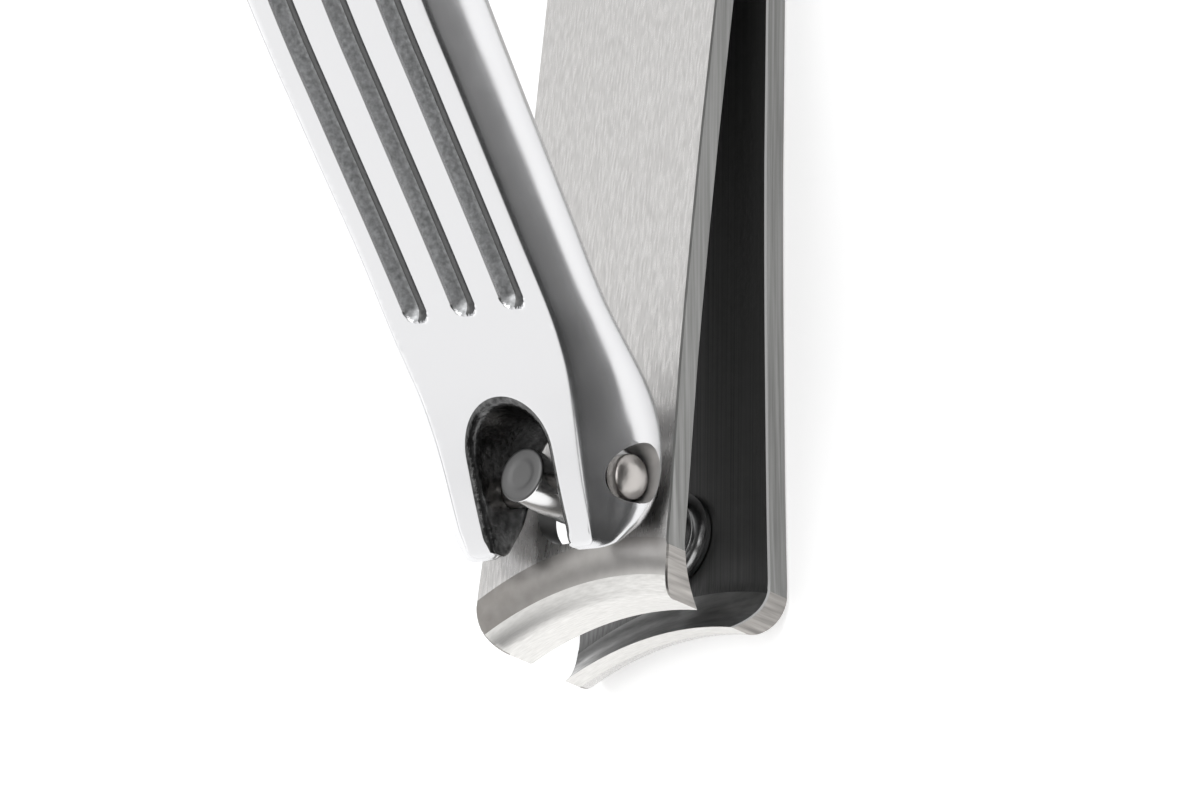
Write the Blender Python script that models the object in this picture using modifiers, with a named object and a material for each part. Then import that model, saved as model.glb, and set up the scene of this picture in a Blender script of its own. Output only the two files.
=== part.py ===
"""Large lever-type nail clipper, modelled at rest with its jaws open and its lever raised.

Frame: +X runs along the arms to the cutting edges, +Y is the right side, +Z is up.
The origin is the middle of the lower blade's flat underside, on which the clipper rests.
Sizes are in millimetres and are turned into metres where vertices are placed.
"""

import math

import bmesh
import bpy
from mathutils import Matrix, Vector

MM = 0.001

# Places along the clipper, measured from the post's axis
POST_X = 32.0
ARM_REAR = -72.0
ARM_EDGE = 6.0
FLEX_X = -55.0
STRAIGHT_FROM = -34.0
RIVETS_X = (-60.0, -65.5)

# Arms
LOWER_THICKNESS = 1.5
UPPER_THICKNESS = 1.4
ARM_GAP_AT_POST = 6.1
ARM_SLOPE = 0.124
SEAT_GAP = 0.06
WAIST_X = -20.0
WAIST_HALF = 6.23
REAR_SWELL = 0.14
HEAD_FLARE = 0.0007
REAR_CORNER = 4.0
HEAD_CORNER_X = 4.2
HEAD_CORNER_RADIUS = 4.8

# Cutting jaws
EDGE_RADIUS = 19.0
JAW_START = 2.6
LOWER_EDGE_Z = 3.45
UPPER_EDGE_Z = 6.0
LOWER_FACET = 1.2
UPPER_FACET = 1.75
UPPER_SETBACK = 0.15
ARM_HOLE_RADIUS = 2.68

# Post, its collar and the cross pin
POST_RADIUS = 1.45
POST_TOP = 13.25
POST_TIP_CHAMFER = 0.18
POST_HEAD_RADIUS = 2.6
POST_HEAD_HEIGHT = 0.65
POST_HEAD_RECESS = 0.1
HEAD_SIDE_GAP = 0.08
COLLAR_RADIUS = 2.65
COLLAR_HEIGHT = 0.8
COLLAR_RIM = 0.35
COLLAR_FLARE = 0.75
COLLAR_BORE_GAP = 0.02
PIN_Z = 11.05
PIN_RADIUS = 0.85
PIN_HEAD_RADIUS = 1.18
PIN_HEAD_THICKNESS = 1.1
PIN_HALF_LENGTH = 6.2
PIN_RIM = 0.12
DOME_DROP = 0.35
RUNNING_FIT = 0.05

# Rear rivets
RIVET_RADIUS = 0.9
RIVET_HEAD_RADIUS = 2.1
RIVET_HEAD_THICKNESS = 0.4
RIVET_CROWN = 0.15
RIVET_EDGE = 0.12
RIVET_GAP = 0.12
FLEX_CLEARANCE = 0.6

# Lever, in the plane of its own length, measured from the cross pin
LEVER_SWIVEL = 9.8
SLOT_WIDTH = 5.2
SLOT_REAR = -5.35
SLOT_TILT = 29.5
TOP_EDGE_RADIUS = 0.3
BOTTOM_EDGE_RADIUS = 0.5
COUNTERSINK_RADIUS = 1.52
COUNTERSINK_DEPTH = 1.2
GROOVE_PITCH = 3.4
GROOVE_RADIUS = 1.05
GROOVE_DEPTH = 0.6
GROOVE_SPREAD = 0.14
GROOVE_FRONT = -7.1
GROOVE_REAR = -47.5
HEEL_X = -6.4
HEEL_Z = 1.5
HEEL_RADIUS = 1.1
HEEL_HALF_WIDTH = 2.6

# Stations from nose to tail: (top x, top z), (bottom x, bottom z), half width at top and at bottom
LEVER_STATIONS = (
    ((3.68, 0.50), (3.66, 0.20), 4.30, 4.80),
    ((3.30, 0.92), (3.25, -0.45), 4.50, 5.50),
    ((2.60, 1.38), (2.45, -0.92), 4.55, 6.10),
    ((1.10, 2.25), (1.30, -1.38), 4.66, 6.50),
    ((-0.50, 3.10), (-0.20, -1.56), 4.82, 6.68),
    ((-2.00, 3.92), (-1.60, -1.53), 5.02, 6.62),
    ((-3.60, 4.92), (-3.28, -1.10), 5.28, 6.48),
    ((-4.90, 5.95), (-5.10, 0.30), 5.48, 6.38),
    ((-6.60, 7.50), (-8.20, 3.75), 5.62, 6.15),
    ((-10.00, 10.80), (-11.95, 7.05), 5.62, 6.02),
    ((-15.10, 15.90), (-16.90, 11.55), 5.78, 5.95),
    ((-20.30, 20.95), (-22.20, 16.40), 5.90, 5.95),
    ((-32.00, 31.20), (-33.80, 27.20), 6.25, 6.20),
    ((-42.00, 37.70), (-43.40, 34.20), 6.50, 6.45),
    ((-49.00, 41.10), (-49.90, 38.30), 6.30, 6.25),
    ((-51.80, 42.30), (-52.30, 40.10), 4.80, 4.70),
)
STATION_STEPS = 4
CORNER_STEPS = 3
# Rounding of the lever's sides: share of the height from the underside, and how far out
SIDE_BULGE = ((0.22, 0.5), (0.45, 1.05), (0.65, 1.05), (0.82, 0.6))
BULGE_HEIGHT = 4.4

# Materials: colour, metallic, roughness
FINISHES = {
    "brushed_steel": ((0.62, 0.61, 0.60), 1.0, 0.32),
    "turned_steel": ((0.50, 0.50, 0.50), 1.0, 0.35),
    "polished_steel": ((0.70, 0.70, 0.70), 1.0, 0.18),
    "chromed_casting": ((0.85, 0.85, 0.86), 1.0, 0.15),
}


def clear_scene():
    for obj in list(bpy.data.objects):
        bpy.data.objects.remove(obj)


def make_collection(name):
    collection = bpy.data.collections.new(name)
    bpy.context.scene.collection.children.link(collection)
    return collection


def make_material(name):
    colour, metallic, roughness = FINISHES[name]
    material = bpy.data.materials.new(name)
    material.use_nodes = True
    shader = material.node_tree.nodes["Principled BSDF"]
    shader.inputs["Base Color"].default_value = (*colour, 1.0)
    shader.inputs["Metallic"].default_value = metallic
    shader.inputs["Roughness"].default_value = roughness
    return material


def smoothstep(start, end, value):
    t = min(1.0, max(0.0, (value - start) / (end - start)))
    return t * t * (3 - 2 * t)


def spaced(start, end, steps):
    return [start + (end - start) * i / steps for i in range(steps + 1)]


# Arms ---------------------------------------------------------------------------------------


def edge_sagitta(y):
    """How far a line across the jaw bows towards the tip at a distance y off the centre."""
    return EDGE_RADIUS - math.sqrt(EDGE_RADIUS**2 - y * y)


def bow(x):
    """Share of the cutting edge's bow that a line across the arm at x has."""
    return smoothstep(-8.0, 1.0, x)


def plain_half_width(x):
    if x > WAIST_X:
        return WAIST_HALF + HEAD_FLARE * (x - WAIST_X) ** 2
    return WAIST_HALF + REAR_SWELL * math.sin(math.pi * (WAIST_X - x) / (WAIST_X - ARM_REAR))


def half_width(x):
    """Half the arm's width where the line across it meets the centre at x."""
    if x < ARM_REAR + REAR_CORNER:
        into = ARM_REAR + REAR_CORNER - x
        return plain_half_width(x) - REAR_CORNER + math.sqrt(REAR_CORNER**2 - into**2)
    side_x = x + bow(x) * edge_sagitta(plain_half_width(x) - 0.6)
    if side_x < HEAD_CORNER_X:
        return plain_half_width(x)
    into = side_x - HEAD_CORNER_X
    drop = HEAD_CORNER_RADIUS - math.sqrt(HEAD_CORNER_RADIUS**2 - into**2)
    return plain_half_width(HEAD_CORNER_X) - drop


def arm_lift(x):
    """Gap between the arms' inner faces, which opens from the riveted rear towards the tip."""
    if x >= STRAIGHT_FROM:
        return ARM_GAP_AT_POST + ARM_SLOPE * x
    start = FLEX_X - 5.0
    if x <= start:
        return SEAT_GAP
    span = STRAIGHT_FROM - start
    t = (x - start) / span
    height = ARM_GAP_AT_POST + ARM_SLOPE * STRAIGHT_FROM - SEAT_GAP
    return SEAT_GAP + height * (3 * t**2 - 2 * t**3) + ARM_SLOPE * span * (t**3 - t**2)


def lower_heights(x):
    """Bottom and top of the lower blade at x."""
    bottom, top = 0.0, LOWER_THICKNESS
    if x > JAW_START:
        t = (x - JAW_START) / (ARM_EDGE - JAW_START)
        bottom = (LOWER_EDGE_Z - LOWER_FACET) * (1 - math.sqrt(max(0.0, 1 - t * t)))
        top += (LOWER_EDGE_Z - LOWER_THICKNESS) * t**2.2
    return bottom, top


def upper_heights(x):
    """Bottom and top of the upper blade at x."""
    inner = LOWER_THICKNESS + arm_lift(x)
    outer = inner + UPPER_THICKNESS
    if x > JAW_START:
        t = (x - JAW_START) / (ARM_EDGE - JAW_START)
        inner -= (inner - UPPER_EDGE_Z) * t**2.2
        outer -= (outer - UPPER_EDGE_Z - UPPER_FACET) * (1 - math.sqrt(max(0.0, 1 - t * t)))
    return inner, outer


def arm_stations():
    rear = [ARM_REAR + REAR_CORNER * (1 - math.cos(a)) for a in spaced(0.12, math.pi / 2, 6)]
    body = spaced(ARM_REAR + REAR_CORNER, FLEX_X - 5.0, 2)[1:]
    flex = spaced(FLEX_X - 5.0, STRAIGHT_FROM, 10)[1:]
    shank = spaced(STRAIGHT_FROM, 1.0, 10)[1:]
    fillet = spaced(1.0, JAW_START, 2)[1:]
    jaw = [JAW_START + (ARM_EDGE - JAW_START) * math.sin(a) for a in spaced(0.0, math.pi / 2, 10)]
    return rear + body + flex + shank + fillet + jaw[1:]


def link_mesh(name, bm, collection, material, smooth_angle=30.0):
    bmesh.ops.recalc_face_normals(bm, faces=bm.faces)
    mesh = bpy.data.meshes.new(name)
    bm.to_mesh(mesh)
    bm.free()
    mesh.shade_smooth()
    mesh.set_sharp_from_angle(angle=math.radians(smooth_angle))
    if material:
        mesh.materials.append(material)
    obj = bpy.data.objects.new(name, mesh)
    collection.objects.link(obj)
    return obj


def loft(name, rings, collection, material):
    """A closed body through rings of points, with a flat cap at each end. Rings are in mm."""
    bm = bmesh.new()
    rows = [[bm.verts.new(Vector(point) * MM) for point in ring] for ring in rings]
    for row, following in zip(rows, rows[1:]):
        for i in range(len(row)):
            j = (i + 1) % len(row)
            bm.faces.new((row[i], row[j], following[j], following[i]))
    bm.faces.new(rows[0])
    bm.faces.new(rows[-1])
    return link_mesh(name, bm, collection, material)


def make_blade(name, heights, collection, material):
    across = spaced(-1.0, 1.0, 12)
    rings = []
    for x in arm_stations():
        bottom, top = heights(x)
        half = half_width(x)
        points = [(x + bow(x) * edge_sagitta(v * half), v * half) for v in across]
        lower_row = [(px, py, bottom) for px, py in points]
        upper_row = [(px, py, top) for px, py in reversed(points)]
        rings.append(lower_row + upper_row)
    blade = loft(name, rings, collection, material)
    blade.location.x = POST_X * MM
    return blade


# Turned pieces ------------------------------------------------------------------------------


def turned(name, profile, collection, material, steps=32):
    """A body turned about its own Z axis, from a profile in mm that runs top to bottom."""
    mesh = bpy.data.meshes.new(name)
    points = [(radius * MM, 0.0, height * MM) for radius, height in profile]
    mesh.from_pydata(points, [(i, i + 1) for i in range(len(points) - 1)], [])
    obj = bpy.data.objects.new(name, mesh)
    screw = obj.modifiers.new("turn", "SCREW")
    screw.steps = steps
    screw.render_steps = steps
    screw.use_merge_vertices = True
    screw.merge_threshold = 0.000001
    screw.use_smooth_shade = True
    if material:
        mesh.materials.append(material)
    collection.objects.link(obj)
    return obj


def cylinder_cutter(name, radius, bottom, top, collection, steps=32):
    bm = bmesh.new()
    middle = Matrix.Translation((0.0, 0.0, (bottom + top) / 2 * MM))
    bmesh.ops.create_cone(
        bm,
        cap_ends=True,
        segments=steps,
        radius1=radius * MM,
        radius2=radius * MM,
        depth=(top - bottom) * MM,
        matrix=middle,
    )
    return as_cutter(link_mesh(name, bm, collection, None))


def as_cutter(obj):
    obj.hide_render = True
    obj.display_type = "WIRE"
    return obj


def combine(obj, other, operation="DIFFERENCE"):
    boolean = obj.modifiers.new(other.name, "BOOLEAN")
    boolean.operation = operation
    boolean.object = other
    boolean.solver = "EXACT"


def make_post(collection, material):
    head_bottom = POST_HEAD_RECESS
    head_top = head_bottom + POST_HEAD_HEIGHT
    profile = (
        (0.0, POST_TOP),
        (POST_RADIUS - POST_TIP_CHAMFER, POST_TOP),
        (POST_RADIUS, POST_TOP - POST_TIP_CHAMFER),
        (POST_RADIUS, head_top),
        (POST_HEAD_RADIUS, head_top),
        (POST_HEAD_RADIUS, head_bottom),
        (0.0, head_bottom),
    )
    return turned("post", profile, collection, material)


def make_collar(collection, material):
    """A flared ring pressed on the post, just above the lower blade's inner face."""
    bottom = LOWER_THICKNESS + RUNNING_FIT
    top = bottom + COLLAR_HEIGHT
    inner = POST_RADIUS + COLLAR_BORE_GAP
    flare = [
        (
            COLLAR_RADIUS - COLLAR_FLARE * math.sin(angle),
            bottom + COLLAR_RIM + (COLLAR_HEIGHT - COLLAR_RIM) * (1 - math.cos(angle)),
        )
        for angle in spaced(0.0, math.pi / 2, 4)
    ]
    profile = [(inner, top)] + flare[::-1] + [(COLLAR_RADIUS, bottom), (inner, bottom), (inner, top)]
    return turned("post_collar", profile, collection, material)


def make_cross_pin(collection, material):
    """A shank through the post with a domed head at each end, on its own Z axis."""
    inner = PIN_HALF_LENGTH - PIN_HEAD_THICKNESS
    dome_edge = PIN_HEAD_RADIUS - PIN_RIM
    dome = [
        (dome_edge * t, PIN_HALF_LENGTH - DOME_DROP * t * t)
        for t in spaced(0.0, 1.0, 4)
    ]
    rim = PIN_HALF_LENGTH - DOME_DROP - PIN_RIM
    upper = dome + [(PIN_HEAD_RADIUS, rim), (PIN_HEAD_RADIUS, inner)]
    upper.append((PIN_RADIUS, inner))
    lower = [(radius, -height) for radius, height in reversed(upper)]
    return turned("cross_pin", upper + lower, collection, material)


def make_rivet(name, x, collection, material):
    top = LOWER_THICKNESS + SEAT_GAP + UPPER_THICKNESS
    head = RIVET_HEAD_RADIUS
    thickness = RIVET_HEAD_THICKNESS
    profile = (
        (0.0, top),
        (head - RIVET_CROWN, top),
        (head, top - RIVET_EDGE),
        (head, top - thickness),
        (RIVET_RADIUS, top - thickness),
        (RIVET_RADIUS, POST_HEAD_RECESS + thickness),
        (head, POST_HEAD_RECESS + thickness),
        (head, POST_HEAD_RECESS),
        (0.0, POST_HEAD_RECESS),
    )
    rivet = turned(name, profile, collection, material)
    rivet.location.x = (POST_X + x) * MM
    return rivet


def at_arm(cutter, x):
    cutter.location.x = (POST_X + x) * MM
    return cutter


def bore_blades(lower, upper, cutters):
    shank = cylinder_cutter("lower_post_hole", POST_RADIUS + RUNNING_FIT, -1.0, 3.0, cutters)
    recess_top = POST_HEAD_RECESS + POST_HEAD_HEIGHT + RUNNING_FIT
    recess = cylinder_cutter("post_head_recess", POST_HEAD_RADIUS + HEAD_SIDE_GAP, -1.0, recess_top, cutters)
    clearance = cylinder_cutter("upper_post_hole", ARM_HOLE_RADIUS, 5.0, 12.0, cutters)
    combine(lower, at_arm(shank, 0.0))
    combine(lower, at_arm(recess, 0.0))
    combine(upper, at_arm(clearance, 0.0))
    seat = LOWER_THICKNESS + SEAT_GAP + UPPER_THICKNESS - RIVET_HEAD_THICKNESS - FLEX_CLEARANCE
    foot = POST_HEAD_RECESS + RIVET_HEAD_THICKNESS + RUNNING_FIT
    wide = RIVET_HEAD_RADIUS + RIVET_GAP
    for i, x in enumerate(RIVETS_X):
        hole = cylinder_cutter(f"rivet_hole_{i}", RIVET_RADIUS + RIVET_GAP, -1.0, 5.0, cutters)
        upper_seat = cylinder_cutter(f"rivet_upper_seat_{i}", wide, seat, 5.0, cutters)
        lower_seat = cylinder_cutter(f"rivet_lower_seat_{i}", wide, -1.0, foot, cutters)
        for cutter in (hole, upper_seat, lower_seat):
            at_arm(cutter, x)
        combine(lower, hole)
        combine(lower, lower_seat)
        combine(upper, hole)
        combine(upper, upper_seat)


# Lever --------------------------------------------------------------------------------------


def catmull_rom(before, start, end, after, t):
    """One value on a smooth curve through start and end."""
    return 0.5 * (
        2 * start
        + (end - before) * t
        + (2 * before - 5 * start + 4 * end - after) * t * t
        + (3 * start - before - 3 * end + after) * t**3
    )


def lever_sections():
    """Flat rows (top x, top z, bottom x, bottom z, top half, bottom half) from nose to tail."""
    rows = [(*top, *bottom, wide, low) for top, bottom, wide, low in LEVER_STATIONS]
    padded = [rows[0]] + rows + [rows[-1]]
    sections = []
    for i in range(len(rows) - 1):
        knots = padded[i : i + 4]
        for step in range(STATION_STEPS):
            t = step / STATION_STEPS
            sections.append([catmull_rom(*values, t) for values in zip(*knots)])
    sections.append(list(rows[-1]))
    return sections


def side_points(section, height, side):
    """Points up one rounded side of the lever, between its lower and upper corner."""
    top_x, top_z, low_x, low_z, top_half, low_half = section
    points = []
    for share, out in SIDE_BULGE:
        half = low_half + (top_half - low_half) * share + out * min(1.0, height / BULGE_HEIGHT) ** 2
        points.append(
            (low_x + (top_x - low_x) * share, side * half, low_z + (top_z - low_z) * share)
        )
    return points


def lever_ring(section):
    """A trapezoid with rounded corners across the lever, counter-clockwise from its lower right."""
    top_x, top_z, low_x, low_z, top_half, low_half = section
    height = math.hypot(top_x - low_x, top_z - low_z)
    corners = (
        (low_half, 0.0, BOTTOM_EDGE_RADIUS, -90.0),
        (top_half, height, TOP_EDGE_RADIUS, 0.0),
        (-top_half, height, TOP_EDGE_RADIUS, 90.0),
        (-low_half, 0.0, BOTTOM_EDGE_RADIUS, 180.0),
    )
    ring = []
    for across, up, radius, start in corners:
        radius = min(radius, 0.4 * height)
        centre_across = across - math.copysign(radius, across)
        centre_up = radius if up == 0.0 else up - radius
        for angle in spaced(start, start + 90.0, CORNER_STEPS):
            y = centre_across + radius * math.cos(math.radians(angle))
            share = (centre_up + radius * math.sin(math.radians(angle))) / height
            ring.append((low_x + (top_x - low_x) * share, y, low_z + (top_z - low_z) * share))
    corner = CORNER_STEPS + 1
    right = side_points(section, height, 1)
    left = side_points(section, height, -1)[::-1]
    return ring[:corner] + right + ring[corner : 3 * corner] + left + ring[3 * corner :]


def slot_cutter(collection):
    """A prism with a round rear end that leaves the lever's front open around the post."""
    half = SLOT_WIDTH / 2
    centre = SLOT_REAR + half
    bm = bmesh.new()
    outline = [(10.0, -half), (10.0, half)]
    for angle in spaced(90.0, 270.0, 12):
        outline.append(
            (centre + half * math.cos(math.radians(angle)), half * math.sin(math.radians(angle)))
        )
    base = bm.faces.new([bm.verts.new((x * MM, y * MM, -12 * MM)) for x, y in outline])
    grown = bmesh.ops.extrude_face_region(bm, geom=[base])["geom"]
    bmesh.ops.translate(
        bm, verts=[v for v in grown if isinstance(v, bmesh.types.BMVert)], vec=(0, 0, 24 * MM)
    )
    cutter = as_cutter(link_mesh("slot", bm, collection, None))
    cutter.rotation_euler.y = math.radians(SLOT_TILT)
    return cutter


def groove_path(index):
    """(centre, along, outward) at each station of a groove along the lever's top."""
    sections = lever_sections()
    inside = [i for i, row in enumerate(sections) if GROOVE_REAR < row[0] < GROOVE_FRONT]
    path = []
    for i in inside[::2]:
        ahead, behind = sections[i - 1], sections[i + 1]
        along = Vector((behind[0] - ahead[0], 0.0, behind[1] - ahead[1])).normalized()
        outward = Vector((along.z, 0.0, -along.x))
        spread = 1.0 + GROOVE_SPREAD * (i - inside[0]) / len(inside)
        centre = Vector((sections[i][0], index * GROOVE_PITCH * spread, sections[i][1]))
        path.append((centre + outward * (GROOVE_RADIUS - GROOVE_DEPTH), along, outward))
    return path


def groove_cutter(index, collection):
    """A round rod with ball ends that lies along the lever's top and cuts one groove."""
    path = groove_path(index)
    rings = []
    for angle in (80.0, 50.0, 20.0):
        centre, along, outward = path[0]
        back = GROOVE_RADIUS * math.sin(math.radians(angle))
        rings.append((centre - along * back, outward, math.cos(math.radians(angle))))
    rings += [(centre, outward, 1.0) for centre, _, outward in path]
    for angle in (20.0, 50.0, 80.0):
        centre, along, outward = path[-1]
        on = GROOVE_RADIUS * math.sin(math.radians(angle))
        rings.append((centre + along * on, outward, math.cos(math.radians(angle))))
    points = []
    for centre, outward, share in rings:
        ring = []
        for angle in spaced(15.0, 375.0, 12)[:-1]:
            side = GROOVE_RADIUS * share * math.cos(math.radians(angle))
            up = GROOVE_RADIUS * share * math.sin(math.radians(angle))
            ring.append(centre + Vector((0.0, side, 0.0)) + outward * up)
        points.append(ring)
    return as_cutter(loft(f"groove_{index + 2}", points, collection, None))


def make_lever(collection, cutters, material):
    rings = [lever_ring(section) for section in lever_sections()]
    lever = loft("lever", rings, collection, material)
    across = math.radians(90.0)
    heel = cylinder_cutter("heel", HEEL_RADIUS, -HEEL_HALF_WIDTH, HEEL_HALF_WIDTH, cutters, 24)
    heel.rotation_euler.x = across
    heel.location = (HEEL_X * MM, 0.0, HEEL_Z * MM)
    bore = cylinder_cutter("pin_bore", PIN_RADIUS + RUNNING_FIT, -9.0, 9.0, cutters, 24)
    bore.rotation_euler.x = across
    tools = [(heel, "UNION"), (slot_cutter(cutters), "DIFFERENCE"), (bore, "DIFFERENCE")]
    seat = PIN_HALF_LENGTH - COUNTERSINK_DEPTH
    for side, ends in (("right", (-9.0, -seat)), ("left", (seat, 9.0))):
        sink = cylinder_cutter(f"pin_seat_{side}", COUNTERSINK_RADIUS, *ends, cutters, 32)
        sink.rotation_euler.x = across
        tools.append((sink, "DIFFERENCE"))
    for index in (-1, 0, 1):
        tools.append((groove_cutter(index, cutters), "DIFFERENCE"))
    for tool, operation in tools:
        combine(lever, tool, operation)
    return lever, [tool for tool, _ in tools]


def main():
    clear_scene()
    parts = make_collection("nail_clipper")
    cutters = make_collection("cutters")
    steel = make_material("brushed_steel")
    turned_steel = make_material("turned_steel")
    polished = make_material("polished_steel")
    chrome = make_material("chromed_casting")

    lower = make_blade("lower_blade", lower_heights, parts, steel)
    upper = make_blade("upper_blade", upper_heights, parts, steel)
    upper.location.x -= UPPER_SETBACK * MM
    bore_blades(lower, upper, cutters)
    for i, x in enumerate(RIVETS_X):
        make_rivet(("front_rivet", "rear_rivet")[i], x, parts, polished)

    swivel = bpy.data.objects.new("post_axis", None)
    swivel.location.x = POST_X * MM
    swivel.rotation_euler.z = math.radians(-LEVER_SWIVEL)
    parts.objects.link(swivel)
    pin_axis = bpy.data.objects.new("pin_axis", None)
    pin_axis.location.z = PIN_Z * MM
    pin_axis.parent = swivel
    parts.objects.link(pin_axis)

    post = make_post(parts, turned_steel)
    collar = make_collar(parts, polished)
    post_bore = cylinder_cutter("post_bore", PIN_RADIUS + RUNNING_FIT, -4.0, 4.0, cutters, 24)
    post_bore.rotation_euler.x = math.radians(90.0)
    post_bore.location.z = PIN_Z * MM
    combine(post, post_bore)
    pin = make_cross_pin(parts, polished)
    pin.rotation_euler.x = math.radians(90.0)
    lever, tools = make_lever(parts, cutters, chrome)
    for piece in (post, collar, post_bore):
        piece.parent = swivel
    for piece in [pin, lever] + tools:
        piece.parent = pin_axis


main()
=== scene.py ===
"""Looks of a large lever-type nail clipper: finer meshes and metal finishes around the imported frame.

Frame: +X runs along the arms to the cutting edges, +Y is the right side, +Z is up, in metres.
Shapes below are written in millimetres, and turned into metres where vertices are placed.
"""

import math

import bmesh
import bpy
from mathutils import Matrix, Vector, geometry


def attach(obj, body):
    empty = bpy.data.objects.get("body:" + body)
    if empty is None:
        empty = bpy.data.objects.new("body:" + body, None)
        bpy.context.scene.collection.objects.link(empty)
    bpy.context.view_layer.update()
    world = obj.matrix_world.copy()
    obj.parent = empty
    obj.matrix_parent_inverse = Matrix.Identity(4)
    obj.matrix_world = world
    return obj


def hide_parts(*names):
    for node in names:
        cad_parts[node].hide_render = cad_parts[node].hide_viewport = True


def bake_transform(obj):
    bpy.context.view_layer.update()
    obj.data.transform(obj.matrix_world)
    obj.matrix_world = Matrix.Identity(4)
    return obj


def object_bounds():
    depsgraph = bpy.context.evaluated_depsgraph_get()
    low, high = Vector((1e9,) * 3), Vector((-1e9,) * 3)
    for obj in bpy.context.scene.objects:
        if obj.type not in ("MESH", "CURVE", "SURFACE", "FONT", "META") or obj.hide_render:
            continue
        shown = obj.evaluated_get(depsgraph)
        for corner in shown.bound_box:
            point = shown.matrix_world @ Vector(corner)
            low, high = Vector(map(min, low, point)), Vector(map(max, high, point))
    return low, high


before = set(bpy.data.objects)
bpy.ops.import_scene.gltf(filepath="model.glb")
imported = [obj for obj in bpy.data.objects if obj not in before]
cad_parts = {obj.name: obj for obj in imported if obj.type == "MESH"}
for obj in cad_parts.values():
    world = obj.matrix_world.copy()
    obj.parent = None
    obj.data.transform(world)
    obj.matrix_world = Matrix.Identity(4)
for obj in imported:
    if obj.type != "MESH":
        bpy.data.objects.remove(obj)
cad_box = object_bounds()

MM = 0.001

# Camera: where it stands and what it sees between, in metres, its three axes, and its lens and
# sensor in millimetres
CAMERA_PLACE = (0.204767, 0.275951, 0.310951)
CAMERA_RIGHT = (-0.011552, 0.743559, -0.668980)
CAMERA_DOWN = (0.916601, -0.259323, -0.304239)
CAMERA_FORWARD = (-0.399679, -0.616713, -0.678553)
CAMERA_LENS = 259.62
CAMERA_SENSOR = 36.0
CAMERA_CLIP = (0.01, 20.0)

# The overhead light and the floor, in metres and watts
LIGHT_PLACE = (0.0, 0.05, 0.7)
LIGHT_AIM = (0.02, 0.0, 0.01)
LIGHT_SIZE = (0.9, 0.9)
LIGHT_POWER = 4.3
FLOOR_HALF_SIDE = 4.0
FLOOR_GAP = 0.00005


def clamped(value):
    return min(1.0, max(0.0, value))


def smoothstep(start, end, value):
    """0 before start and 1 after end, with a smooth rise between them."""
    t = clamped((value - start) / (end - start))
    return t * t * (3 - 2 * t)


def spaced(start, end, steps):
    """Evenly spaced values, both ends included."""
    return [start + (end - start) * i / steps for i in range(steps + 1)]


def shifted(x=0.0, y=0.0, z=0.0):
    """A move by so many millimetres."""
    return Matrix.Translation((x * MM, y * MM, z * MM))


def turned_about(axis, degrees):
    return Matrix.Rotation(math.radians(degrees), 4, axis)


def catmull_rom(before, start, end, after, t):
    """One value on a smooth curve through start and end."""
    return 0.5 * (
        2 * start
        + (end - before) * t
        + (2 * before - 5 * start + 4 * end - after) * t * t
        + (3 * start - before - 3 * end + after) * t**3
    )


# Studio --------------------------------------------------------------------------------------


def make_camera():
    data = bpy.data.cameras.new("camera")
    data.lens = CAMERA_LENS
    data.sensor_width = CAMERA_SENSOR
    data.clip_start, data.clip_end = CAMERA_CLIP
    camera = bpy.data.objects.new("camera", data)
    right = Vector(CAMERA_RIGHT).normalized()
    up = -Vector(CAMERA_DOWN).normalized()
    back = -Vector(CAMERA_FORWARD).normalized()
    turn = Matrix((right, up, back)).transposed().to_4x4()
    camera.matrix_world = Matrix.Translation(CAMERA_PLACE) @ turn
    bpy.context.scene.collection.objects.link(camera)
    bpy.context.scene.camera = camera


def make_light():
    data = bpy.data.lights.new("overhead", "AREA")
    data.shape = "RECTANGLE"
    data.size, data.size_y = LIGHT_SIZE
    data.energy = LIGHT_POWER
    light = bpy.data.objects.new("overhead", data)
    back = Vector(LIGHT_PLACE) - Vector(LIGHT_AIM)
    turn = back.to_track_quat("Z", "Y").to_matrix().to_4x4()
    light.matrix_world = Matrix.Translation(LIGHT_PLACE) @ turn
    bpy.context.scene.collection.objects.link(light)


# Glows of the studio dome: direction, cosine of the angle off it where the glow ends and where
# it is full, and strength
DOME_BASE = 0.05
DOME_GLOWS = (
    ((0.430, -0.770, 0.450), 0.87, 0.94, 1.08),
    ((0.750, -0.655, -0.050), 0.93, 0.98, 0.55),
    ((-0.520, -0.560, 0.640), 0.90, 0.985, 1.00),
    ((0.050, -0.980, 0.080), 0.86, 0.95, 0.55),
    ((-0.700, 0.300, 0.640), 0.70, 0.95, 0.50),
    ((0.600, 0.790, 0.050), 0.80, 1.00, 0.20),
)


def make_world():
    """A dim dome with soft glows, whose strengths are added up from node to node."""
    world = bpy.data.worlds.new("studio")
    bpy.context.scene.world = world
    world.use_nodes = True
    nodes = world.node_tree.nodes
    links = world.node_tree.links
    background = nodes["Background"]
    where = nodes.new("ShaderNodeTexCoord")
    total = None
    for direction, edge, full, strength in DOME_GLOWS:
        dot = nodes.new("ShaderNodeVectorMath")
        dot.operation = "DOT_PRODUCT"
        dot.inputs[1].default_value = Vector(direction).normalized()
        links.new(where.outputs["Generated"], dot.inputs[0])
        fade = nodes.new("ShaderNodeMapRange")
        fade.interpolation_type = "SMOOTHSTEP"
        fade.inputs["From Min"].default_value = edge
        fade.inputs["From Max"].default_value = full
        fade.inputs["To Max"].default_value = strength
        links.new(dot.outputs["Value"], fade.inputs["Value"])
        add = nodes.new("ShaderNodeMath")
        add.operation = "ADD"
        add.inputs[1].default_value = DOME_BASE
        links.new(fade.outputs["Result"], add.inputs[0])
        if total:
            links.new(total, add.inputs[1])
        total = add.outputs["Value"]
    links.new(total, background.inputs["Color"])


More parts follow.
